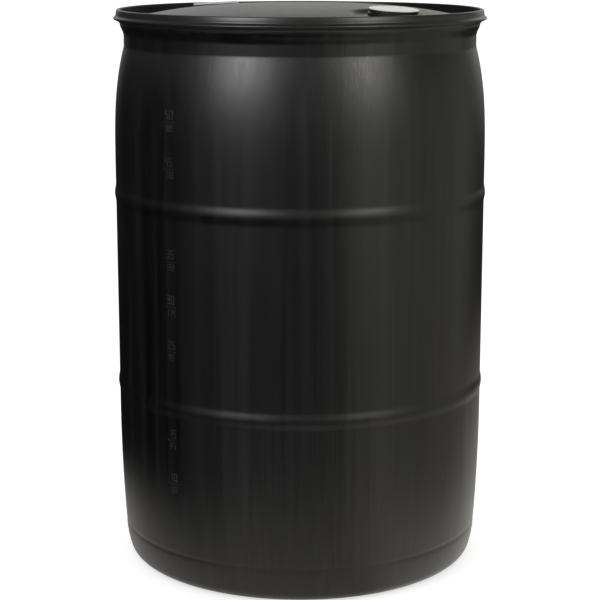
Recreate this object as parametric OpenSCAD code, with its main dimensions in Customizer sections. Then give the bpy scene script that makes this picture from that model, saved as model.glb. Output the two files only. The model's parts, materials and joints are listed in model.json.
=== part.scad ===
// Tight-head drum: a blow-moulded shell with a welded handling ring and two
// screw closures on a crowned head.  Millimetres, +Z up.  The origin is the
// centre of the base, on the floor.  Both closures stand on the X axis.

/* [Drum] */
// Diameter over the rolling hoops
hoop_d = 588; // [560:1:620]
// Height of the ring's lip above the floor
lip_h = 877; // [840:1:940]
// Wall thickness of the moulded shell
wall = 4.2; // [3:0.1:5]
// How far the hoops stand out from the plain wall
hoop_out = 1.9; // [1:0.1:4]
// How much narrower in radius the neck under the ring is than the plain wall
neck_in = 16.6; // [12:0.1:20]
// Height of the crown of the head above the lip
crown_rise = 7.6; // [4:0.1:14]

/* [Closures] */
// Distance of each closure from the drum's axis
bung_r = 208; // [198:1:210]
// Outward lean of each closure, in degrees
bung_tilt = 4.5; // [0:0.5:5]
// Depth of the closure's seat below the lip, at its centre
seat_drop = 7; // [6:0.5:10]
// Height of the fill neck's collar above its seat
fill_collar_h = 6.4; // [3.5:0.1:9]
// Height of the vent neck's collar above its seat
vent_collar_h = 2.9; // [2.7:0.1:9]
// Diameter of the fill thread, a coarse 56 mm buttress form
fill_thread_d = 56; // [54:0.5:57]
// Pitch of the fill thread
fill_pitch = 4; // [3.5:0.1:4.5]
// Diameter of the vent thread, a fine 2 inch parallel pipe form
vent_thread_d = 57.4; // [55:0.1:58]
// Pitch of the vent thread, 11.5 threads to the inch
vent_pitch = 2.209; // [2.1:0.001:2.4]
// Diameter of the white cap seals
cap_d = 74; // [73:0.5:76]

/* [Hidden] */

black = [0.035, 0.035, 0.037];
rubber_black = [0.06, 0.06, 0.06];
cap_white = [0.88, 0.88, 0.85];

hoop_r = hoop_d / 2;
wall_r = hoop_r - hoop_out;         // plain wall between the hoops
neck_r = wall_r - neck_in;          // waist under the ring
ledge_r = neck_r + 5.6;             // shell where the ring stands on it
hoop_zs = [lip_h * 0.326, lip_h * 0.673];
hoop_half = 14;                     // half the height of a hoop

// ---------- outlines, as lists of [radius, height] ----------

// points on an arc about c, angles in degrees from the outward direction
function arc(c, r, a0, a1, n) =
    [for (i = [0 : n]) let (a = a0 + (a1 - a0) * i / n) [c[0] + r * cos(a), c[1] + r * sin(a)]];

// underside: a standing ring at the rim and a shallow push-up in the middle
foot_r = wall_r - 34.6;             // where the corner meets the floor
corner_r = 23;
push_up = 12;
push_r = 214;
base_pts = concat(
    [[0, push_up + 2], [push_r * 0.55, push_up + 1.2], [push_r - 14, push_up]],
    arc([push_r - 14, push_up - 14], 14, 80, 35, 3),
    arc([push_r + 11, 9], 9, 235, 270, 3),
    arc([foot_r, corner_r], corner_r, -90, -16, 9)
);

// the base seam, then the lower wall closing in towards the base
seam_h = 57;
taper_top = 250;
taper_in = 6.4;
function lower_r(z) = wall_r - taper_in * pow((taper_top - z) / (taper_top - seam_h), 2);
heel = [for (z = [24, 32, 40, 48])
    let (t = (z - 16.7) / (seam_h - 16.7))
    [foot_r + corner_r * cos(16) + (lower_r(seam_h) - foot_r - corner_r * cos(16)) * (1 - pow(1 - t, 1.9)), z]];
lower_wall = [for (z = [seam_h, 80, 110, 140, 170, 200, 230, taper_top]) [lower_r(z), z]];

// one rolling hoop, fuller above its middle than below it
function hoop(z) = [for (i = [-7 : 7])
    let (t = i / 7, s = t > 0 ? pow(cos(90 * t), 1.4) : pow(cos(90 * t), 2))
    [wall_r + hoop_out * s, z + hoop_half * t + 1]];

// the shoulder swells from the neck's crease to the full wall along a cubic
crease_z = lip_h - 57;
shoulder_h = 182;
shoulder = [for (i = [14 : -1 : 0])
    let (t = i / 14) [wall_r - neck_in * pow(1 - t, 3), crease_z - shoulder_h * t]];

// the neck and the cove up to the ring's ledge
ledge_z = lip_h - 21;
neck = concat(
    [for (i = [0 : 8])
        let (t = i / 8) [neck_r + (ledge_r - neck_r) * (1 - cos(180 * t)) / 2, lip_h - 40 + 18 * t]],
    [[ledge_r, ledge_z]]
);

// the head: spigot inside the ring, gutter, flank and crowned middle
spigot_r = ledge_r - 4;
gutter_drop = 20;
crown_edge_r = 240;
function crown_z(r) = lip_h + crown_rise - r * r / 6350 - 2.5e-9 * pow(r, 4);
gutter_in_r = 257;
head = concat(
    [[spigot_r, ledge_z], [spigot_r, ledge_z + 3]],
    arc([spigot_r - 2, ledge_z + 3], 2, 0, 90, 2),
    [[spigot_r - 5, lip_h - gutter_drop + 2], [spigot_r - 9, lip_h - gutter_drop]],
    [for (i = [0 : 8]) let (
        t = i / 8,
        r = gutter_in_r + (crown_edge_r - gutter_in_r) * t,
        z0 = lip_h - gutter_drop,
        z1 = crown_z(crown_edge_r))
        [r, z0 + (z1 - z0) * (1 - cos(180 * t)) / 2 ]],
    [for (r = [224 : -16 : 0]) [r, crown_z(r)]]
);

outside = concat(base_pts, heel, lower_wall, hoop(hoop_zs[0]), hoop(hoop_zs[1]), shoulder, neck, head);

// the cavity follows the outside one wall thickness in
function unit(v) = v / norm(v);
function inset(p, i, d) =
    let (a = p[max(i - 1, 0)], b = p[min(i + 1, len(p) - 1)], t = unit(b - a))
    [max(p[i][0] - t[1] * d, 0), p[i][1] + t[0] * d];
// only the points where the wall runs on smoothly: the ledge and spigot are solid
under_ring = [[ledge_r - wall - 2.2, lip_h - 30], [ledge_r - wall - 3, lip_h - gutter_drop - wall - 0.5],
    [spigot_r - 9, lip_h - gutter_drop - wall]];
cavity_low = concat(base_pts, heel, lower_wall, hoop(hoop_zs[0]), hoop(hoop_zs[1]), shoulder);
n_low = len(cavity_low);
cavity = concat(
    [[0, push_up + 2 + wall]],
    [for (i = [1 : n_low - 1]) inset(cavity_low, i, wall)],
    [[neck_r - wall, lip_h - 40], [neck_r - wall + 2, lip_h - 33]],
    under_ring, [[gutter_in_r, lip_h - gutter_drop - wall]],
    [for (i = [2 : 8]) let (
        t = i / 8,
        r = gutter_in_r - 1 + (crown_edge_r - gutter_in_r) * t,
        z0 = lip_h - gutter_drop - wall,
        z1 = crown_z(crown_edge_r) - wall)
        [r, z0 + (z1 - z0) * (1 - cos(180 * t)) / 2 ]],
    [for (r = [224 : -16 : 0]) [r, crown_z(r) - wall]]
);

// ---------- closures: local frame, seat at z = 0, axis along +Z ----------

seat_r = 58;                        // flat seat moulded into the crown
collar_r = 38.6;
foot_flange_r = 42.5;               // flange at the collar's foot
neck_depth = 14;                    // how far the neck reaches below its seat
boss_r = 46;                        // boss that carries the neck past the crown's edge
gasket_t = 3;
gasket_sink = 1.9;                  // depth of the gasket's groove in the collar
gasket_in_r = 30.2;
gasket_out_r = 33.8;
gap = 0.15;                         // running gap between the closure's pieces
plug_wall = 4.2;
function plug_core_r(thread_d, depth) = thread_d / 2 - depth - 0.1;
flange_r = 36.4;
flange_t = 4;
plug_depth = 10;                    // how far the plug reaches below its seat
cap_t = 1.6;
cap_grip = 3.2;                     // depth of the seal's ring in the wrench recess

// the dish moulded into the crown round a closure: flat seat, sloping bank
module dish_cutter(offset_r) {
    cylinder(r1 = offset_r, r2 = offset_r + 1.5 * 40, h = 40, $fn = 120);
}

module at_closure(side) {
    rotate([0, 0, side]) translate([bung_r, 0, lip_h - seat_drop]) rotate([0, bung_tilt, 0]) children();
}

// helical ridge, radius a at its root and b at its crest, tapered out at both ends
module thread_ridge(a, b, root_w, crest_w, pitch, z0, turns, per_turn) {
    n = round(turns * per_turn);
    fade = per_turn / 6;
    function grow(i) = min(1, (min(i, n - i) + 0.6) / fade);
    pts = [for (i = [0 : n]) let (
            g = grow(i),
            t = 360 * i / per_turn,
            z = z0 + pitch * i / per_turn,
            c = a + (b - a) * g)
        each [for (q = [[a, -root_w / 2], [c, -crest_w / 2], [c, crest_w / 2], [a, root_w / 2]])
            [q[0] * cos(t), q[0] * sin(t), z + q[1]]]];
    flip = b > a;
    function tri(p, q, r) = flip ? [p, q, r] : [p, r, q];
    sides = [for (i = [0 : n - 1]) for (k = [0 : 3]) let (
            p = 4 * i + k, q = 4 * i + (k + 1) % 4)
        each [tri(p, q, q + 4), tri(p, q + 4, p + 4)]];
    ends = [tri(0, 2, 1), tri(0, 3, 2), tri(4 * n, 4 * n + 1, 4 * n + 2), tri(4 * n, 4 * n + 2, 4 * n + 3)];
    polyhedron(points = pts, faces = concat(sides, ends), convexity = 10);
}

// moulded-in neck: a collar through the head, a flange at its foot, internal thread
module neck_part(collar_h, thread_d, pitch, depth, per_turn) {
    root_r = thread_d / 2 + 0.4;
    crest_r = thread_d / 2 - depth + 0.3;
    root_w = pitch * 0.4;
    crest_w = pitch * 0.2;
    color(black) union() {
        rotate_extrude($fn = 96) polygon([
            [root_r, -neck_depth], [collar_r - 0.8, -neck_depth], [collar_r, -neck_depth + 0.8],
            [collar_r, 0], [foot_flange_r, 0],
            [foot_flange_r, 0.5], [foot_flange_r - 0.7, 1.2], [collar_r + 0.5, 1.5], [collar_r, 2],
            [collar_r, collar_h - 0.6], [collar_r - 0.6, collar_h],
            [gasket_out_r + 0.3, collar_h], [gasket_out_r + 0.3, collar_h - gasket_sink],
            [root_r, collar_h - gasket_sink]
        ]);
        thread_ridge(root_r + 0.6, crest_r, root_w, crest_w, pitch,
            -neck_depth + root_w, (collar_h + neck_depth - gasket_sink - 2 * root_w) / pitch, per_turn);
    }
}

// flat elastomer ring under the plug's flange, seated in the collar's groove
module gasket_part(collar_h) {
    z0 = collar_h - gasket_sink + gap;
    color(rubber_black) rotate_extrude($fn = 96) polygon([
        [gasket_in_r, z0], [gasket_out_r, z0], [gasket_out_r, z0 + gasket_t], [gasket_in_r, z0 + gasket_t]
    ]);
}

// cup-shaped plug: flange, threaded skirt, wrench recess with four lugs
module plug_part(collar_h, thread_d, pitch, depth, per_turn) {
    flange_z = collar_h - gasket_sink + gasket_t + gap;
    crest_r = thread_d / 2 - 0.1;
    core_r = plug_core_r(thread_d, depth);
    recess_r = core_r - plug_wall;
    floor_z = -plug_depth + 3.5;
    root_w = pitch * 0.42;
    crest_w = pitch * 0.2;
    // the plug's ridge runs half a pitch away from the neck's
    phase = pitch * 0.4 + pitch / 2;
    z0 = -neck_depth + phase + pitch * ceil((neck_depth - plug_depth) / pitch);
    color(black) union() {
        difference() {
            rotate_extrude($fn = 96) polygon([
                [0, -plug_depth], [core_r - 1.2, -plug_depth], [core_r, -plug_depth + 1.2],
                [core_r, flange_z - 3], [gasket_in_r - 1.6, flange_z - 1], [gasket_in_r - 1.6, flange_z],
                [flange_r, flange_z], [flange_r, flange_z + flange_t - 0.6],
                [flange_r - 0.6, flange_z + flange_t], [0, flange_z + flange_t]
            ]);
            translate([0, 0, floor_z]) cylinder(r = recess_r, h = 60, $fn = 72);
        }
        for (a = [45 : 90 : 315]) rotate([0, 0, a])
            translate([recess_r - 3.6, -2.6, floor_z - 0.5])
                cube([4.6, 5.2, flange_z - floor_z]);
        // tapped boss for a small fitting, still closed by its membrane
        translate([0, 0, floor_z - 0.5]) difference() {
            cylinder(r = 12.6, h = 3.5, $fn = 60);
            translate([0, 0, 0.5]) cylinder(r = 10.4, h = 9, $fn = 60);
        }
        thread_ridge(core_r - 0.6, crest_r, root_w, crest_w, pitch, z0,
            (flange_z - 4 - z0) / pitch, per_turn);
    }
}

// pull-off seal: a flat disc with a fine rim, and a ring that grips the wrench recess
module cap_part(collar_h, thread_d, depth) {
    z1 = collar_h - gasket_sink + gasket_t + gap + flange_t + gap + cap_t;
    z0 = z1 - cap_t;
    r = cap_d / 2;
    grip_r = plug_core_r(thread_d, depth) - plug_wall - 0.35;
    color(cap_white) rotate_extrude($fn = 96) polygon([
        [0, z0], [grip_r - 1.4, z0], [grip_r - 1.2, z0 - cap_grip], [grip_r - 0.3, z0 - cap_grip],
        [grip_r, z0 - cap_grip + 0.5], [grip_r, z0], [r - 0.5, z0], [r, z0 + 0.4],
        [r, z1 - 0.6], [r - 0.6, z1], [r - 2.6, z1], [r - 3, z1 - 0.3], [0, z1 - 0.3]
    ]);
}

// ---------- the pieces ----------

module drum_shell() {
    color(black) difference() {
        union() {
            rotate_extrude($fn = 180) polygon(outside);
            for (side = [0, 180]) at_closure(side)
                translate([0, 0, -neck_depth]) cylinder(r1 = boss_r + 4, r2 = boss_r, h = neck_depth, $fn = 96);
        }
        difference() {
            rotate_extrude($fn = 180) polygon(cavity);
            for (side = [0, 180]) at_closure(side)
                translate([0, 0, -wall]) dish_cutter(seat_r + wall * 0.3);
        }
        for (side = [0, 180]) at_closure(side) {
            dish_cutter(seat_r);
            translate([0, 0, -60]) cylinder(r = collar_r, h = 80, $fn = 96);
        }
    }
}

// L-section handling ring, welded on the shell's ledge round the spigot
ring_in_r = ledge_r;
ring_out_r = hoop_r - 2.7;
ring_section = concat(
    [[spigot_r, ledge_z], [ledge_r + 0.8, ledge_z], [ledge_r + 2.8, ledge_z + 2.6],
     [ring_out_r - 2.4, lip_h - 16.4]],
    arc([ring_out_r - 2.2, lip_h - 13.6], 2.2, -60, 75, 4),
    [[ring_out_r - 3.4, lip_h - 9.6], [ring_out_r - 3.9, lip_h - 8.2], [ring_out_r - 4.2, lip_h - 5],
     [ring_out_r - 4.85, lip_h - 2]],
    arc([ring_out_r - 6.8, lip_h - 2], 2, 15, 90, 3),
    [[ring_in_r + 1.2, lip_h], [ring_in_r, lip_h - 1.2], [ring_in_r, lip_h - 12.5],
     [spigot_r + 1.5, lip_h - 15], [spigot_r, lip_h - 16.5]]
);

module handling_ring() {
    color(black) rotate_extrude($fn = 180) polygon(ring_section);
}

module fill_neck() { at_closure(0) neck_part(fill_collar_h, fill_thread_d, fill_pitch, 2, 36); }
module fill_gasket() { at_closure(0) gasket_part(fill_collar_h); }
module fill_plug() { at_closure(0) plug_part(fill_collar_h, fill_thread_d, fill_pitch, 2, 36); }
module fill_cap_seal() { at_closure(0) cap_part(fill_collar_h, fill_thread_d, 2); }
module vent_neck() { at_closure(180) neck_part(vent_collar_h, vent_thread_d, vent_pitch, 1.3, 36); }
module vent_gasket() { at_closure(180) gasket_part(vent_collar_h); }
module vent_plug() { at_closure(180) plug_part(vent_collar_h, vent_thread_d, vent_pitch, 1.3, 36); }
module vent_cap_seal() { at_closure(180) cap_part(vent_collar_h, vent_thread_d, 1.3); }

drum_shell();
handling_ring();
fill_neck();
fill_gasket();
fill_plug();
fill_cap_seal();
vent_neck();
vent_gasket();
vent_plug();
vent_cap_seal();
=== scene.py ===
"""Looks for the closed-head plastic drum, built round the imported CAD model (metres, +Z up)."""

import json
import math

import bpy
import numpy as np
from mathutils import Matrix, Vector


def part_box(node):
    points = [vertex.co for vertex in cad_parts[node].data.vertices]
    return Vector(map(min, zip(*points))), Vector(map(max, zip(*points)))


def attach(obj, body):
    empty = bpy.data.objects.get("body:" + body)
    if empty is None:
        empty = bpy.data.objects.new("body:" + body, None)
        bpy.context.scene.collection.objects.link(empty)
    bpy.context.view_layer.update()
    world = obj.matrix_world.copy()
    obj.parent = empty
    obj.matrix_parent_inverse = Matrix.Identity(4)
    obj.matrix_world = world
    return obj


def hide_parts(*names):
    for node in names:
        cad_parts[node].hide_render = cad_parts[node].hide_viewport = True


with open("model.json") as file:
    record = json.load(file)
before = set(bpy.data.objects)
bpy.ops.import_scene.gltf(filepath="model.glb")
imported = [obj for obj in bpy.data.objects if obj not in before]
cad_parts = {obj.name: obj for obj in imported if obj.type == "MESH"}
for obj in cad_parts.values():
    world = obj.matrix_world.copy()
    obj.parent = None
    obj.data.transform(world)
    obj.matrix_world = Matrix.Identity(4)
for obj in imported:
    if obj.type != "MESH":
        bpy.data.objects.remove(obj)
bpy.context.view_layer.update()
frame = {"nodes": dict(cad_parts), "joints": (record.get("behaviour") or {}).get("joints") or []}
scene = bpy.context.scene
MM = 0.001

# ---------------------------------------------------------------- sizes, all from the frame
shell_lo, shell_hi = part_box("drum_shell")
ring_lo, ring_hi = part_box("handling_ring")
HOOP_R = max(shell_hi.x, shell_hi.y)
LIP = ring_hi.z
RING_R = ring_hi.x
JOINTS = {j["name"]: j for j in frame["joints"]}


class Closure:
    """One screw closure: where its axis meets its seat, and its local frame."""

    def __init__(self, name):
        joint = JOINTS[name + "_bung_turn"]
        self.name = name
        self.seat = Vector(joint["pos_m"])
        self.axis = Vector(joint["axis"]).normalized()
        out = Vector((self.seat.x, self.seat.y, 0)).normalized()
        self.side = self.axis.cross(out).normalized()
        self.out = self.side.cross(self.axis).normalized()
        self.matrix = Matrix.Translation(self.seat) @ Matrix(
            (
                (self.out.x, self.side.x, self.axis.x, 0),
                (self.out.y, self.side.y, self.axis.y, 0),
                (self.out.z, self.side.z, self.axis.z, 0),
                (0, 0, 0, 1),
            )
        )

    def local_box(self, node):
        """Lowest and highest corner of a CAD node along this closure's own axes."""
        inverse = self.matrix.inverted()
        co = np.array([inverse @ v.co for v in frame["nodes"][node].data.vertices])
        return co.min(0), co.max(0)


FILL, VENT = Closure("fill"), Closure("vent")

# ---------------------------------------------------------------- mesh helpers


def new_object(name, verts, faces, smooth=True):
    mesh = bpy.data.meshes.new(name)
    mesh.from_pydata([tuple(v) for v in verts], [], faces)
    mesh.validate()
    mesh.update()
    if smooth:
        mesh.polygons.foreach_set("use_smooth", [True] * len(mesh.polygons))
    obj = bpy.data.objects.new(name, mesh)
    scene.collection.objects.link(obj)
    return obj


def revolve(profile, steps, closed=False, wobble=None):
    """Verts and faces of a [radius, height] outline turned about +Z. A radius of 0 becomes one point.
    Outlines run so that the outside is on the right of their direction."""
    verts, rows = [], []
    for r, z in profile:
        if r < 1e-7:
            rows.append([len(verts)])
            verts.append((0.0, 0.0, z))
            continue
        start = len(verts)
        for i in range(steps):
            a = 2 * math.pi * i / steps
            dr, dz = wobble(a, r, z) if wobble else (0.0, 0.0)
            verts.append(((r + dr) * math.cos(a), (r + dr) * math.sin(a), z + dz))
        rows.append(list(range(start, start + steps)))
    faces = []
    pairs = list(zip(rows, rows[1:])) + ([(rows[-1], rows[0])] if closed else [])
    for low, high in pairs:
        for i in range(steps):
            j = (i + 1) % steps
            if len(low) == 1 and len(high) == 1:
                continue
            if len(low) == 1:
                faces.append((low[0], high[j], high[i]))
            elif len(high) == 1:
                faces.append((low[i], low[j], high[0]))
            else:
                faces.append((low[i], low[j], high[j], high[i]))
    return verts, faces


def arc(cx, cz, r, a0, a1, n):
    out = []
    for i in range(n + 1):
        a = math.radians(a0 + (a1 - a0) * i / n)
        out.append((cx + r * math.cos(a), cz + r * math.sin(a)))
    return out


def spread(points, step):
    """The same outline with extra points, none further apart than step."""
    out = [points[0]]
    for (r0, z0), (r1, z1) in zip(points, points[1:]):
        n = max(1, math.ceil(math.hypot(r1 - r0, z1 - z0) / step))
        for k in range(1, n + 1):
            out.append((r0 + (r1 - r0) * k / n, z0 + (z1 - z0) * k / n))
    return out


def smoothstep(x):
    x = min(max(x, 0.0), 1.0)
    return x * x * (3 - 2 * x)


# ---------------------------------------------------------------- the shell's outline
HOOP_OUT = 1.9 * MM
WALL_R = HOOP_R - HOOP_OUT
NECK_R = WALL_R - 16.6 * MM
LEDGE_R = NECK_R + 5.6 * MM
LEDGE_Z = LIP - 21 * MM
SPIGOT_R = LEDGE_R - 4 * MM
SWELL_Z = LIP - 40 * MM  # the neck swells out to the ledge from here
SWELL_H = 18 * MM
HOOP_ZS = (LIP * 0.326, LIP * 0.673)
HOOP_HALF = 14 * MM
PUSH_R = 214 * MM  # the base's middle is pushed up inside this radius
PUSH_UP = 12 * MM
FOOT_R = WALL_R - 34.6 * MM
CORNER_R = 23 * MM
CORNER_END = 16  # degrees below level where the corner's arc hands over to the wall
SEAM_H = 57 * MM
SEAM_STEP = 0.5 * MM
HAIRLINE_Z = LIP - 701 * MM
TAPER_TOP = 250 * MM
TAPER_IN = 6.4 * MM
CREASE_Z = LIP - 57 * MM
SHOULDER_H = 182 * MM
GUTTER_Z = LIP - 20 * MM
GUTTER_IN = 257 * MM  # the gutter's flat floor ends here, and the crown's flank begins
CROWN_EDGE = 240 * MM
CROWN_RISE = 7.6 * MM


def crown_z(r):
    """Height of the crowned head: a shallow dome that steepens towards its edge."""
    mm = r / MM
    return LIP + CROWN_RISE - (mm * mm / 6350 + 2.5e-9 * mm**4) * MM


def hoop_bump(z):
    """How far the two rolling hoops stand out at height z: fuller above their middles than below."""
    out = 0.0
    for centre in HOOP_ZS:
        t = (z - centre - 1 * MM) / HOOP_HALF
        if abs(t) < 1:
            out += HOOP_OUT * math.cos(t * math.pi / 2) ** (1.4 if t > 0 else 2.0)
    return out


def wall_radius(z):
    """Radius of the side wall between the base corner and the neck's crease."""
    corner = FOOT_R + CORNER_R * math.cos(math.radians(CORNER_END))
    corner_z = CORNER_R * (1 - math.sin(math.radians(CORNER_END)))
    seam_r = WALL_R - TAPER_IN
    if z < SEAM_H:
        t = (z - corner_z) / (SEAM_H - corner_z)
        r = corner + (seam_r - corner) * (1 - (1 - t) ** 1.9)
        return r - SEAM_STEP * smoothstep((z - SEAM_H + 9 * MM) / (9 * MM))
    r = WALL_R
    if z < TAPER_TOP:
        r -= TAPER_IN * ((TAPER_TOP - z) / (TAPER_TOP - SEAM_H)) ** 2
    top = CREASE_Z - z
    if top < SHOULDER_H:
        r -= (WALL_R - NECK_R) * (1 - top / SHOULDER_H) ** 3
    return r + hoop_bump(z)


def shell_outline():
    """The shell's outside from the middle of the base to the middle of the head, in four stretches."""
    base = [(0.0, PUSH_UP + 2 * MM), (PUSH_R * 0.55, PUSH_UP + 1.2 * MM), (PUSH_R - 14 * MM, PUSH_UP)]
    base += arc(PUSH_R - 14 * MM, PUSH_UP - 14 * MM, 14 * MM, 80, 35, 5)
    base += arc(PUSH_R + 11 * MM, 9 * MM, 9 * MM, 235, 270, 5)
    base += arc(FOOT_R, CORNER_R, CORNER_R, -90, -CORNER_END, 18)
    base = spread(base, 8 * MM)
    z0 = base[-1][1]
    # a fine groove where the base section of the mould meets the wall, and a hairline higher up
    grooves = ((SEAM_H, 0.45 * MM, 1.6 * MM), (HAIRLINE_Z, 0.12 * MM, 1.2 * MM))
    side = []
    for i in range(1, 301):
        z = z0 + (CREASE_Z - z0) * i / 300
        r = wall_radius(z)
        for centre, depth, half in grooves:
            r -= depth * math.exp(-(((z - centre) / half) ** 2))
        side.append((r, z))
    neck = spread([side[-1], (NECK_R, SWELL_Z)], 2 * MM)[1:]
    for i in range(1, 17):
        t = i / 16
        swell = (LEDGE_R - NECK_R) * (1 - math.cos(math.pi * t)) / 2
        neck.append((NECK_R + swell, SWELL_Z + SWELL_H * t))
    neck.append((LEDGE_R, LEDGE_Z))
    head = [(SPIGOT_R, LEDGE_Z), (SPIGOT_R, LEDGE_Z + 3 * MM)]
    head += arc(SPIGOT_R - 2 * MM, LEDGE_Z + 3 * MM, 2 * MM, 0, 90, 4)
    head += [(SPIGOT_R - 5 * MM, GUTTER_Z + 2 * MM), (SPIGOT_R - 9 * MM, GUTTER_Z)]
    edge_z = crown_z(CROWN_EDGE)
    for i in range(15):
        t = i / 14
        r = GUTTER_IN + (CROWN_EDGE - GUTTER_IN) * t
        head.append((r, GUTTER_Z + (edge_z - GUTTER_Z) * (1 - math.cos(math.pi * t)) / 2))
    r = CROWN_EDGE - 2 * MM
    while r > 60 * MM:
        head.append((r, crown_z(r)))
        r -= 2.2 * MM
    head += [(r, crown_z(r)) for r in (50 * MM, 35 * MM, 20 * MM, 8 * MM)] + [(0.0, crown_z(0.0))]
    return base, side, neck, head


# each closure's seat: a flat dish in the head, on a boss where the seat stands out past the crown
SEAT_R = 58 * MM
DISH_REACH = 130 * MM
BOSS_R = 46 * MM
BOSS_FALL = 3.5  # height lost for each step outwards
BOSS_WIDTH = 7 * MM
COLLAR_CLEAR = 39.5 * MM


def dish_height(closure, x, y):
    """Height of the closure's moulded dish above (x, y), and how far that is from its axis."""
    d = Vector((x, y, 0)) - Vector((closure.seat.x, closure.seat.y, 0))
    along = d.dot(Vector((closure.out.x, closure.out.y, 0)).normalized())
    across = d.dot(closure.side)
    plane = closure.seat.z + along * closure.out.z / math.hypot(closure.out.x, closure.out.y)
    rho = math.hypot(along, across)
    return plane + max(0.0, rho - SEAT_R) / 1.5, rho


def soft_min(a, b, k):
    """The lower of a and b, rounded where they meet within k."""
    h = min(max(0.5 + 0.5 * (b - a) / k, 0.0), 1.0)
    return b * (1 - h) + a * h - k * h * (1 - h)


def build_shell():
    base, side, neck, head = shell_outline()
    verts, faces = revolve(base + side + neck + head, 360)
    verts = np.array(verts)
    r = np.hypot(verts[:, 0], verts[:, 1])
    top = np.where((verts[:, 2] > LIP - 22 * MM) & (r < LEDGE_R - 9.5 * MM))[0]
    near = {}
    for i in top:
        x, y, z = verts[i]
        for closure in (FILL, VENT):
            dish, rho = dish_height(closure, x, y)
            if rho < DISH_REACH:
                boss = dish - max(0.0, rho - BOSS_R) * BOSS_FALL
                if rho < BOSS_R + BOSS_WIDTH and boss > z:
                    z = boss
                z = soft_min(z, dish, 2.4 * MM)
                near[i] = min(rho, near.get(i, 9.0))
        verts[i, 2] = z
    # the neck passes through the head, so its opening is left clear under the collar's flange
    faces = [
        f
        for f in faces
        if not all(i in near for i in f) or sum(near[i] for i in f) / len(f) > COLLAR_CLEAR
    ]
    return new_object("drum_body", verts, faces)


# ---------------------------------------------------------------- materials


class Nodes:
    """A short way to write a node tree."""

    def __init__(self, name):
        self.material = bpy.data.materials.new(name)
        self.material.use_nodes = True
        self.tree = self.material.node_tree
        self.shader = self.tree.nodes["Principled BSDF"]

    def node(self, kind, **values):
        n = self.tree.nodes.new(kind)
        for key, value in values.items():
            setattr(n, key, value)
        return n

    def link(self, a, b):
        self.tree.links.new(a, b)

    def value(self, socket, x):
        if isinstance(x, (int, float)):
            socket.default_value = x
        elif isinstance(x, (tuple, list)):
            socket.default_value = x
        else:
            self.link(x, socket)

    def math(self, operation, a, b=0.0, clamp=False):
        n = self.node("ShaderNodeMath", operation=operation, use_clamp=clamp)
        self.value(n.inputs[0], a)
        self.value(n.inputs[1], b)
        return n.outputs[0]

    def position(self):
        return self.node("ShaderNodeTexCoord").outputs["Object"]

    def scaled(self, vector, scale, offset=(0, 0, 0)):
        n = self.node("ShaderNodeMapping")
        self.link(vector, n.inputs["Vector"])
        n.inputs["Scale"].default_value = scale
        n.inputs["Location"].default_value = offset
        return n.outputs[0]

    def noise(self, vector, scale, detail, rough):
        n = self.node("ShaderNodeTexNoise")
        self.link(vector, n.inputs["Vector"])
        n.inputs["Scale"].default_value = scale
        n.inputs["Detail"].default_value = detail
        n.inputs["Roughness"].default_value = rough
        return n.outputs[0]

    def ramp(self, value, low, high, out_low, out_high):
        n = self.node("ShaderNodeMapRange", clamp=True)
        self.link(value, n.inputs["Value"])
        for key, x in zip(("From Min", "From Max", "To Min", "To Max"), (low, high, out_low, out_high)):
            n.inputs[key].default_value = x
        return n.outputs[0]

    def mix(self, factor, a, b):
        n = self.node("ShaderNodeMix", data_type="RGBA")
        self.value(n.inputs["Factor"], factor)
        self.value(n.inputs["A"], a)
        self.value(n.inputs["B"], b)
        return n.outputs["Result"]

    def bump(self, height, strength, distance, normal=None):
        n = self.node("ShaderNodeBump")
        self.link(height, n.inputs["Height"])
        n.inputs["Strength"].default_value = strength
        n.inputs["Distance"].default_value = distance
        if normal is not None:
            self.link(normal, n.inputs["Normal"])
        return n.outputs["Normal"]


STREAK_SHEEN_LIFT = 0.011  # how much lighter a die line's painted sheen makes the colour


def moulded_black(name, tint, rough, streaks=1.0, wave=1.0):
    """Carbon-black polyethylene: drawn vertical streaks with painted sheen in their colour, a slightly wavy
    wall, fine skin.
    """
    n = Nodes(name)
    p = n.position()
    # vertical die lines: the pattern changes quickly round the wall and slowly up it
    fine = n.noise(n.scaled(p, (330, 330, 1.6)), 1.0, 4.0, 0.7)
    broad = n.noise(n.scaled(p, (70, 70, 1.1), (3, 1, 0)), 1.0, 3.0, 0.6)
    patches = n.noise(n.scaled(p, (7, 7, 2.2), (0, 4, 0)), 1.0, 2.0, 0.5)
    skin = n.noise(p, 900, 2.0, 0.6)
    # the lighter colour of the die lines and bands is painted sheen, standing in for the light they catch;
    # their pattern, bumps and roughness are the real marks
    lines = n.math("MULTIPLY", n.ramp(fine, 0.47, 0.7, 0, 1), n.ramp(patches, 0.4, 0.65, 0.15, 1))
    bands = n.ramp(broad, 0.42, 0.66, 0, 1)
    painted_streak_sheen = n.math("ADD", n.math("MULTIPLY", lines, 0.8), n.math("MULTIPLY", bands, 0.3))
    light = tuple(c + STREAK_SHEEN_LIFT * streaks for c in tint)
    colour = n.mix(n.math("MULTIPLY", painted_streak_sheen, 0.9, True), (*tint, 1), (*light, 1))
    n.link(colour, n.shader.inputs["Base Color"])
    r = n.math("ADD", n.math("MULTIPLY", broad, 0.10 * streaks), n.math("MULTIPLY", lines, -0.10 * streaks))
    r = n.math("ADD", r, n.math("MULTIPLY", patches, 0.10))
    n.link(n.math("ADD", r, rough - 0.08), n.shader.inputs["Roughness"])
    normal = n.bump(n.noise(n.scaled(p, (9, 9, 5)), 1.0, 1.0, 0.4), 0.55 * wave, 0.0012)
    normal = n.bump(broad, 0.35 * streaks, 0.0005, normal)
    normal = n.bump(fine, 0.35 * streaks, 0.0003, normal)
    normal = n.bump(skin, 0.10, 0.0001, normal)
    n.link(normal, n.shader.inputs["Normal"])
    n.shader.inputs["IOR"].default_value = 1.5
    n.shader.inputs["Specular IOR Level"].default_value = 0.5
    return n.material


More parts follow.
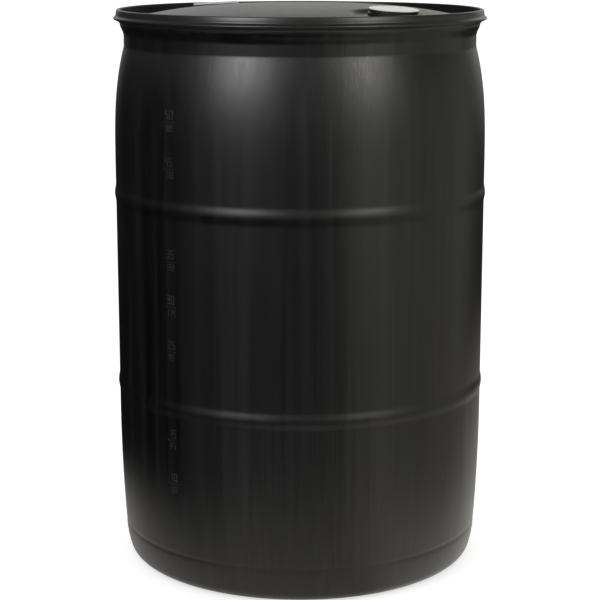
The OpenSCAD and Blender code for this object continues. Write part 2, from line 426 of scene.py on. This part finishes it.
def plain_black(name, tint, rough):
    """Injection-moulded black plastic: even, with a fine skin and faint flow marks."""
    n = Nodes(name)
    p = n.position()
    flow = n.noise(n.scaled(p, (60, 60, 140)), 1.0, 3.0, 0.6)
    skin = n.noise(p, 1500, 2.0, 0.6)
    light = tuple(min(1.0, c * 1.8) for c in tint)
    n.link(n.mix(n.ramp(flow, 0.35, 0.7, 0, 1), (*tint, 1), (*light, 1)), n.shader.inputs["Base Color"])
    n.link(n.ramp(flow, 0.3, 0.7, rough - 0.06, rough + 0.08), n.shader.inputs["Roughness"])
    n.link(n.bump(skin, 0.2, 0.0001), n.shader.inputs["Normal"])
    return n.material


def white_plastic(name):
    """Soft white polyethylene: slightly waxy, with faint handling marks."""
    n = Nodes(name)
    p = n.position()
    cloud = n.noise(p, 45, 3.0, 0.6)
    specks = n.ramp(n.noise(p, 420, 3.0, 0.7), 0.70, 0.80, 0, 0.35)
    base = n.mix(n.ramp(cloud, 0.3, 0.7, 0, 1), (0.87, 0.87, 0.83, 1), (0.93, 0.93, 0.90, 1))
    n.link(n.mix(specks, base, (0.45, 0.44, 0.40, 1)), n.shader.inputs["Base Color"])
    n.link(n.ramp(cloud, 0.3, 0.7, 0.32, 0.48), n.shader.inputs["Roughness"])
    n.link(n.bump(n.noise(p, 700, 2.0, 0.5), 0.15, 0.0001), n.shader.inputs["Normal"])
    n.shader.inputs["Subsurface Weight"].default_value = 0.15
    n.shader.inputs["Subsurface Radius"].default_value = (0.004, 0.003, 0.0025)
    return n.material


def floor_material():
    n = Nodes("studio_floor")
    n.shader.inputs["Base Color"].default_value = (0.90, 0.90, 0.90, 1)
    n.shader.inputs["Emission Color"].default_value = (1.0, 1.0, 1.0, 1)
    n.shader.inputs["Emission Strength"].default_value = 0.6
    n.shader.inputs["Roughness"].default_value = 0.9
    n.shader.inputs["Specular IOR Level"].default_value = 0.1
    return n.material


BODY_BLACK = moulded_black("body_polyethylene", (0.0002, 0.0002, 0.0003), 0.35)
# the ring's tint, lighter than the body's, is painted light: it stands in for the light falling on the
# ring, most of all on its inner wall
RING_BLACK = moulded_black("ring_polyethylene", (0.0082, 0.0080, 0.0077), 0.34, streaks=0.35, wave=0.3)
NECK_BLACK = plain_black("neck_polyethylene", (0.0040, 0.0040, 0.0042), 0.32)
PLUG_BLACK = plain_black("plug_polyethylene", (0.0060, 0.0060, 0.0062), 0.42)
RUBBER = plain_black("gasket_rubber", (0.0200, 0.0200, 0.0200), 0.65)
SEAL_WHITE = white_plastic("seal_polyethylene")
MARK_BLACK = plain_black("mark_polyethylene", (0.0130, 0.0130, 0.0135), 0.5)


def paint(obj, material):
    obj.data.materials.clear()
    obj.data.materials.append(material)
    return obj


# ---------------------------------------------------------------- the shell and the ring
body = paint(build_shell(), BODY_BLACK)
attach(body, "drum")
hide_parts("drum_shell")


# generic volume graduations, raised a little from the wall: gallons over litres over a tick
STROKES = {  # the strokes of each figure on a grid 1 wide and 2 high
    "0": "tpblmq", "1": "tb", "2": "pthlq", "3": "pthbq", "4": "mthb", "5": "pmhbq",
    "6": "pmlhbq", "7": "ptb", "8": "pmtlbhq", "9": "pmthbq",
}
ENDS = {
    "p": ((0, 2), (1, 2)), "h": ((0, 1), (1, 1)), "q": ((0, 0), (1, 0)),
    "m": ((0, 1), (0, 2)), "l": ((0, 0), (0, 1)), "t": ((1, 1), (1, 2)), "b": ((1, 0), (1, 1)),
}


def raised_bar(verts, faces, u0, v0, u1, v1, width):
    """A low bar with sloping sides on the wall, from (u0, v0) to (u1, v1): metres round and metres up."""
    along = Vector((u1 - u0, v1 - v0)).normalized()
    across = Vector((-along.y, along.x))
    start = len(verts)
    for height, half, trim in ((-0.2 * MM, width / 2, 0.0), (MARK_PROUD, width / 4, width / 5)):
        for (u, v), way, side in (
            ((u0, v0), 1, -1), ((u1, v1), -1, -1), ((u1, v1), -1, 1), ((u0, v0), 1, 1),
        ):
            pu = u + along.x * way * (trim - width / 3) + across.x * side * half
            pv = v + along.y * way * (trim - width / 3) + across.y * side * half
            r = wall_radius(pv) + height
            a = MARK_ANGLE + pu / r
            verts.append((r * math.cos(a), r * math.sin(a), pv))
    faces.append(tuple(start + i for i in (4, 5, 6, 7)))
    for i in range(4):
        j = (i + 1) % 4
        faces.append((start + i, start + j, start + 4 + j, start + 4 + i))


MARK_ANGLE = math.radians(-83)  # where the graduations stand round the drum, from +X
MARK_PROUD = 0.35 * MM
MARK_TOP = LIP - 158 * MM  # the tick for 50 gallons, less 3 mm
GALLON_H = 13.8 * MM
LITRES = 3.785
FIGURE_W = 0.44  # of the figure's height, as are the next two
FIGURE_PITCH = 0.72
FIGURE_STROKE = 0.13


def write_number(verts, faces, text, base, size):
    """Figures as tall as size on the wall, in a row centred on the graduations' line."""
    pitch = size * FIGURE_PITCH
    width = size * FIGURE_W
    left = -(len(text) - 1) * pitch / 2 - width / 2
    for k, figure in enumerate(text):
        x = left + k * pitch
        for stroke in STROKES[figure]:
            (a, b), (c, d) = ENDS[stroke]
            raised_bar(
                verts, faces, x + a * width, base + b * size / 2,
                x + c * width, base + d * size / 2, size * FIGURE_STROKE,
            )


def build_graduations():
    verts, faces = [], []
    for gallons in (50, 45, 35, 30, 25, 15, 10, 5):
        z = MARK_TOP - (50 - gallons) * GALLON_H
        write_number(verts, faces, str(gallons), z + 8 * MM, 12 * MM)
        write_number(verts, faces, str(round(gallons * LITRES)), z - 10 * MM, 9 * MM)
        raised_bar(verts, faces, -11 * MM, z + 3 * MM, 11 * MM, z + 3 * MM, 1.1 * MM)
    return new_object("graduation_marks", verts, faces, smooth=False)


marks = paint(build_graduations(), MARK_BLACK)
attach(marks, "drum")


def ring_outline():
    """The L-section: its foot on the ledge, a bead half way up, a narrower upper band and the lip."""
    out = RING_R
    pts = [(SPIGOT_R, LEDGE_Z), (LEDGE_R + 0.8 * MM, LEDGE_Z), (LEDGE_R + 2.8 * MM, LEDGE_Z + 2.6 * MM)]
    pts += [(out - 2.9 * MM, LIP - 16.5 * MM)]
    pts += arc(out - 2.2 * MM, LIP - 13.6 * MM, 2.2 * MM, -70, 75, 12)
    pts += [(out - 3.3 * MM, LIP - 9.7 * MM), (out - 3.75 * MM, LIP - 9.0 * MM)]
    # the upper band curves in towards the lip
    pts += [(out - 3.9 * MM, LIP - 8.2 * MM), (out - 4.0 * MM, LIP - 6.6 * MM)]
    pts += [(out - 4.2 * MM, LIP - 5 * MM), (out - 4.48 * MM, LIP - 3.4 * MM)]
    pts += arc(out - 6.8 * MM, LIP - 2 * MM, 2 * MM, 14, 90, 9)
    pts += arc(LEDGE_R + 1.2 * MM, LIP - 1.2 * MM, 1.2 * MM, 90, 180, 5)
    pts += [(LEDGE_R, LIP - 12.5 * MM), (SPIGOT_R + 1.5 * MM, LIP - 15 * MM), (SPIGOT_R, LIP - 16.5 * MM)]
    return pts


def ring_wobble(a, r, z):
    """A moulded ring is never quite round or flat; it stays just inside its nominal size."""
    top = smoothstep((z - LIP + 12 * MM) / (10 * MM))
    dr = -0.12 * MM * (1 + math.sin(5 * a + 0.6)) / 2 - 0.08 * MM * (1 + math.sin(17 * a)) / 2
    dz = -0.10 * MM * top * (1 + math.sin(7 * a + 1.1)) / 2
    return dr, dz


ring_points = spread(ring_outline(), 2.5 * MM)
ring = new_object("top_ring", *revolve(ring_points, 360, closed=True, wobble=ring_wobble))
paint(ring, RING_BLACK)
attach(ring, "drum")
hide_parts("handling_ring")

# ---------------------------------------------------------------- closures


SEAL_T = 1.6 * MM
SEAL_GRIP_R = {"fill": 21.35 * MM, "vent": 22.75 * MM}  # ring that grips the plug's wrench recess
SEAL_SKIRT = {"fill": 0.0, "vent": 1.8 * MM}  # how far the rim reaches down past the disc


def seal_outline(r, foot, top, grip, skirt):
    """A seal's outline from the middle of its face round the rim to the middle of its underside."""
    under = top - SEAL_T
    pts = [(0.0, top - 0.3 * MM), (13.2 * MM, top - 0.3 * MM), (13.6 * MM, top - 0.1 * MM)]
    pts += [(14.6 * MM, top - 0.1 * MM), (15.0 * MM, top - 0.3 * MM), (r - 3.4 * MM, top - 0.35 * MM)]
    pts += [(r - 3.0 * MM, top - 0.05 * MM)]
    pts += arc(r - 0.7 * MM, top - 0.7 * MM, 0.7 * MM, 90, 0, 6)
    if skirt:
        pts += [(r, under - skirt + 0.15 * MM), (r - 0.15 * MM, under - skirt)]
        pts += [(r - 0.45 * MM, under - skirt), (r - 0.45 * MM, under)]
    else:
        pts += [(r, under + 0.4 * MM), (r - 0.4 * MM, under)]
    pts += [(grip, under), (grip, foot + 0.5 * MM), (grip - 0.3 * MM, foot)]
    pts += [(grip - 1.2 * MM, foot), (grip - 1.4 * MM, under), (0.0, under)]
    return pts


def build_seal(closure):
    name = closure.name
    lo, hi = closure.local_box(name + "_cap_seal")
    pts = seal_outline(float(hi[0]), float(lo[2]), float(hi[2]), SEAL_GRIP_R[name], SEAL_SKIRT[name])
    seal = new_object(name + "_seal_disc", *revolve(pts[::-1], 96))
    seal.data.transform(closure.matrix)
    return paint(seal, SEAL_WHITE)


seals = []
for closure in (FILL, VENT):
    name = closure.name
    seal = build_seal(closure)
    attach(seal, name + "_cap")
    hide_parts(name + "_cap_seal")
    seals.append(seal)
    paint(frame["nodes"][name + "_neck"], NECK_BLACK)
    paint(frame["nodes"][name + "_plug"], PLUG_BLACK)
    paint(frame["nodes"][name + "_gasket"], RUBBER)

# ---------------------------------------------------------------- smooth normals with real edges
for obj in (body, ring, *seals):
    obj.data.set_sharp_from_angle(angle=math.radians(38))

# ---------------------------------------------------------------- floor, light and camera
FLOOR_HALF = 400.0
floor_corners = [(x * FLOOR_HALF, y * FLOOR_HALF, 0) for x, y in ((-1, -1), (1, -1), (1, 1), (-1, 1))]
floor = new_object("floor", floor_corners, [(0, 1, 2, 3)], smooth=False)
paint(floor, floor_material())

VIEW_ANGLE = math.radians(-41.6)  # where the camera stands round the drum, from +X
VIEW_DISTANCE = 2.780
VIEW_HEIGHT = LIP + 0.1226
VIEW_PITCH = math.radians(11.96)
LENS = 105.37
toward = Vector((math.cos(VIEW_ANGLE), math.sin(VIEW_ANGLE), 0))
right = Vector((-math.sin(VIEW_ANGLE), math.cos(VIEW_ANGLE), 0))


def at(side, front, height):
    """A point in the camera's own directions: right of the drum, in front of it, above the floor."""
    return right * side + toward * front + Vector((0, 0, height))


def aim(obj, target):
    obj.rotation_euler = (Vector(target) - obj.location).to_track_quat("-Z", "Y").to_euler()


def area_light(name, place, target, size, power, colour=(1, 1, 1)):
    data = bpy.data.lights.new(name, "AREA")
    data.shape = "RECTANGLE"
    data.size, data.size_y = size
    data.energy = power
    data.color = colour
    obj = bpy.data.objects.new(name, data)
    scene.collection.objects.link(obj)
    obj.location = place
    aim(obj, target)
    return obj


# white surroundings light the scene; what the drum mirrors is a dome of dim and bright panels
world = bpy.data.worlds.new("studio")
scene.world = world
world.use_nodes = True
background = world.node_tree.nodes["Background"]
background.inputs["Color"].default_value = (1.0, 1.0, 1.0, 1)
background.inputs["Strength"].default_value = 0.62
world.cycles_visibility.glossy = False


class Panels(Nodes):
    """Glowing material whose strength is a sum of soft-edged panels by direction and distance."""

    def edge(self, x, low, high, a=0.0, b=1.0):
        """a below low and b above high, with a soft step between."""
        r = self.node("ShaderNodeMapRange", clamp=True, interpolation_type="SMOOTHSTEP")
        for key, v in zip(("Value", "From Min", "From Max", "To Min", "To Max"), (x, low, high, a, b)):
            self.value(r.inputs[key], v)
        return r.outputs[0]

    def band(self, x, low, high, soft):
        """1 between low and high and 0 outside, with soft edges."""
        starts = self.edge(x, low - soft, low + soft)
        ends = self.edge(x, high - soft, high + soft, 1, 0)
        return self.math("MULTIPLY", starts, ends)

    def panel(self, strength, turn, rise):
        return self.math("MULTIPLY", self.math("MULTIPLY", turn, rise), strength)

    def directions(self):
        """Degrees right of the camera (-180 to 180), the same from 0 to 360, and above the horizon."""
        unit = self.node("ShaderNodeVectorMath", operation="NORMALIZE")
        self.link(self.position(), unit.inputs[0])
        parts = []
        for direction in (toward, right, (0, 0, 1)):
            product = self.node("ShaderNodeVectorMath", operation="DOT_PRODUCT")
            self.link(unit.outputs["Vector"], product.inputs[0])
            product.inputs[1].default_value = direction
            parts.append(product.outputs["Value"])
        turn = self.math("MULTIPLY", self.math("ARCTAN2", parts[1], parts[0]), 180 / math.pi)
        around = self.math("FLOORED_MODULO", self.math("ADD", turn, 360.0), 360.0)
        return turn, around, self.math("MULTIPLY", self.math("ARCSINE", parts[2]), 180 / math.pi)

    def finish(self, parts, colour):
        total = parts[0]
        for each in parts[1:]:
            total = self.math("ADD", total, each)
        glow = self.node("ShaderNodeEmission")
        self.value(glow.inputs["Color"], colour)
        self.link(total, glow.inputs["Strength"])
        self.link(glow.outputs[0], self.tree.nodes["Material Output"].inputs["Surface"])
        self.material.cycles.emission_sampling = "NONE"
        return self.material


def dome_material():
    n = Panels("studio_panels")
    turn, around, rise = n.directions()
    parts = [
        # the ceiling, fading to the horizon
        n.edge(rise, -2, 25, 0.015, 0.25),
        # softboxes high on the left and the right
        n.panel(9.5, n.band(turn, -50, -24, 8), n.band(rise, 12, 42, 5)),
        n.panel(8.0, n.band(turn, 33, 53, 7), n.band(rise, 11, 42, 5)),
        # the dim room in front, and a lighter wall low on the right
        n.panel(0.11, n.band(turn, -58, 62, 14), n.edge(rise, 20, 40, 1, 0)),
        n.panel(0.43, n.band(turn, 30, 128, 8), n.edge(rise, 4, 18, 1, 0)),
        n.panel(0.30, n.band(turn, 30, 54, 7), n.edge(rise, 0, 10, 1, 0)),
        # the backdrop behind
        n.panel(0.7, n.band(around, 140, 204, 10), n.band(rise, -2, 26, 5)),
    ]
    warm_right = n.mix(n.edge(turn, 0, 60), (1, 1, 1, 1), (1, 0.985, 0.89, 1))
    return n.finish(parts, warm_right)


NEAR_FLOOR_START = 0.3  # where its glow begins to fade, just past the drum's wall


def near_floor_material():
    """What the drum mirrors of the floor: bright close by, further out in front and behind, and a dim
    glow all over its right."""
    n = Panels("near_floor")
    turn, around, rise = n.directions()
    length = n.node("ShaderNodeVectorMath", operation="LENGTH")
    n.link(n.position(), length.inputs[0])
    reach = n.math("ADD", n.math("MULTIPLY", n.band(around, 118, 205, 14), 1.6), 0.72)
    reach = n.math("ADD", n.math("MULTIPLY", n.band(turn, -36, 60, 14), 0.4), reach)
    past_drum = n.math("SUBTRACT", length.outputs["Value"], NEAR_FLOOR_START)
    fade = n.math("DIVIDE", past_drum, n.math("SUBTRACT", reach, NEAR_FLOOR_START))
    on_right = n.math("MULTIPLY", n.band(turn, 28, 117, 9), 0.4)
    return n.finish([n.edge(fade, 0, 1, 0.68, 0), on_right], (1, 0.97, 0.91, 1))


def mirrored_only(obj, material):
    """A stage piece that only reflections see."""
    paint(obj, material)
    obj.visible_camera = False
    obj.visible_diffuse = False
    obj.visible_transmission = False
    obj.visible_shadow = False
    return obj


DOME_R = 20
half_turn = [math.pi * i / 24 for i in range(25)]
dome_outline = [(DOME_R * math.sin(a), -DOME_R * math.cos(a)) for a in half_turn]
dome = mirrored_only(new_object("studio_dome", *revolve(dome_outline, 48)), dome_material())
dome.location = (0, 0, 0.45)
near_outline = [(r, 0.0) for r in (0.0, 0.5, 1.0, 1.8, 2.6)]
near_floor = mirrored_only(new_object("near_floor", *revolve(near_outline, 64)), near_floor_material())
near_floor.location = (0, 0, 0.4 * MM)
floor.visible_glossy = False

key = area_light("key_left", at(-2.2, 2.4, 2.6), (0, 0, 0.5), (1.0, 1.6), 12)
fill = area_light("fill_right", at(3.0, 1.2, 1.5), (0, 0, 0.5), (1.0, 2.0), 8, (1.0, 0.97, 0.93))
over = area_light("top", at(0.0, -0.5, 3.2), (0, 0, 0.8), (2.2, 1.2), 6)
for lamp in (key, fill, over):
    lamp.visible_glossy = False
    lamp.visible_camera = False

camera_data = bpy.data.cameras.new("camera")
camera = bpy.data.objects.new("camera", camera_data)
scene.collection.objects.link(camera)
scene.camera = camera
camera_data.lens = LENS
camera_data.sensor_width = 36
camera.location = at(0, VIEW_DISTANCE, VIEW_HEIGHT)
forward = -toward * math.cos(VIEW_PITCH) - Vector((0, 0, math.sin(VIEW_PITCH)))
camera.rotation_euler = (forward.to_track_quat("-Z", "Y")).to_euler()
scene.view_settings.view_transform = "Standard"
